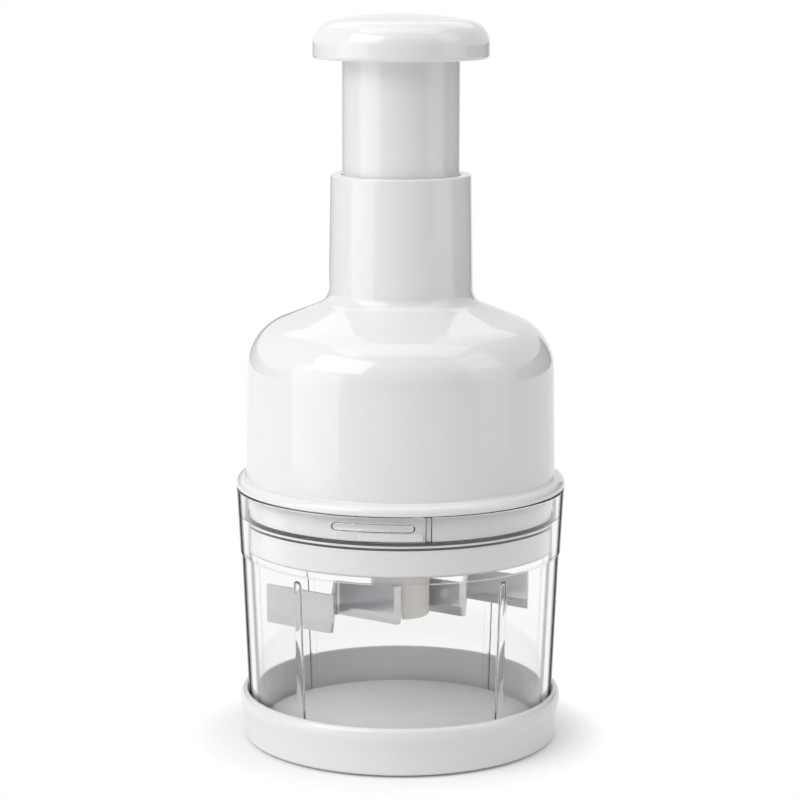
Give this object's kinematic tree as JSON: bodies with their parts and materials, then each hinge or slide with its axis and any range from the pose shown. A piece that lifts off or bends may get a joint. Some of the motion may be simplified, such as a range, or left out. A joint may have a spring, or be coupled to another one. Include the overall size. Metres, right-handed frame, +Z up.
{
  "type": "press-down food chopper",
  "caption": "Press-down food chopper: sprung plunger in a white necked housing turns and drives a zigzag blade down through a clear bowl that stands in a base cap.",
  "frame": {"origin": "on the table under the middle of the base, at the underside of the foot ring", "axes": "+Z up along the plunger's axis, -Y towards the front with the bayonet lug, +X to the right"},
  "size_m": [0.1006, 0.1006, 0.2215],
  "materials": {
    "white_plastic": "polished moulding",
    "clear_plastic": "clear moulding",
    "post_plastic": "satin moulding",
    "board_plastic": "fine texture",
    "drive_plastic": "natural acetal",
    "soft_rubber": "soft matt",
    "blade_steel": "ground edge",
    "hardware_steel": "zinc plated",
    "spring_steel": "drawn wire"
  },
  "bodies": {
    "base": {"base_cap": "white_plastic", "foot_ring": "soft_rubber", "cutting_board": "board_plastic"},
    "bowl": {"bowl": "clear_plastic"},
    "housing": {"housing": "white_plastic", "guide_ring": "white_plastic", "guard_cup": "white_plastic", "bowl_seal": "soft_rubber", "post_seal": "soft_rubber", "drive_tower": "drive_plastic", "tower_screws": "hardware_steel", "pawl_ring": "drive_plastic", "drive_nut": "drive_plastic", "thrust_washer": "hardware_steel", "return_spring": "spring_steel"},
    "plunger": {"plunger_tube": "white_plastic", "knob_cap": "white_plastic", "swivel_bush": "drive_plastic"},
    "blade_unit": {"drive_spindle": "drive_plastic", "spindle_pin": "hardware_steel", "blade_post": "post_plastic", "blade": "blade_steel", "blade_pins": "blade_steel", "swivel_washer": "hardware_steel", "swivel_screw": "hardware_steel"}
  },
  "joints": [
    {"name": "bowl_lift", "type": "slide", "parent": "base", "child": "bowl", "axis": [0, 0, 1], "range_m": [0, 0.03]},
    {"name": "housing_twist", "type": "hinge", "parent": "bowl", "child": "housing", "pos_m": [0, 0, 0.0789], "axis": [0, 0, 1], "range_deg": [-34, 0]},
    {"name": "plunger_press", "type": "slide", "parent": "housing", "child": "plunger", "axis": [0, 0, -1], "range_m": [0, 0.032], "stiffness_N_per_m": 450, "springref_m": -0.02, "deforming": ["return_spring"]},
    {"name": "blade_turn", "type": "hinge", "parent": "plunger", "child": "blade_unit", "pos_m": [0, 0, 0.12], "axis": [0, 0, 1], "range_deg": [0, 45]}
  ],
  "couplings": [
    {"joint": "blade_turn", "follows": "plunger_press", "rad_per_m": 24.543}
  ]
}
